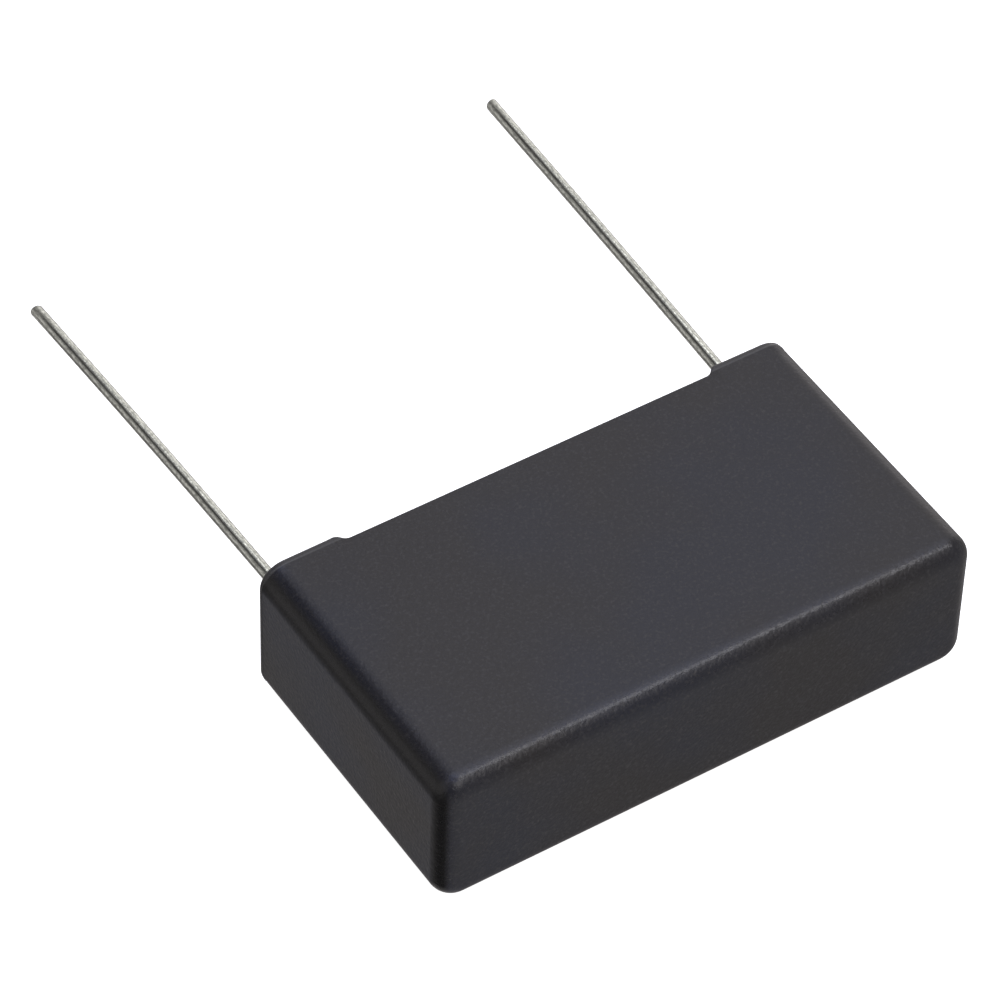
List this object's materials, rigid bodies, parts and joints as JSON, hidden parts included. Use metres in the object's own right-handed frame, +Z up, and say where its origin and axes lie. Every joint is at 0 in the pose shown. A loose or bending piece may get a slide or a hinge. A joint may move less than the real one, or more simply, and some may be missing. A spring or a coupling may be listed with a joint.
{
  "type": "box film capacitor",
  "caption": "Dark moulded box with rounded edges, low stand-off feet round a resin-sealed face, and stiff wire leads that solder into a circuit board.",
  "frame": {"origin": "middle of the broad face that the part lies on", "axes": "+X along the case's length, +Y toward the leads, +Z up through the case's thickness"},
  "size_m": [0.0316, 0.0438, 0.0087],
  "materials": {
    "case_plastic": "fine matt grain",
    "resin": "cast, slightly glossy",
    "film": "metallised plastic film",
    "sprayed_zinc": "matt sprayed zinc",
    "tinned_wire": "drawn and tinned"
  },
  "bodies": {
    "root": {"case": "case_plastic", "potting": "resin", "film_winding": "film", "end_contact_left": "sprayed_zinc", "end_contact_right": "sprayed_zinc", "lead_left": "tinned_wire", "lead_right": "tinned_wire"}
  },
  "joints": []
}
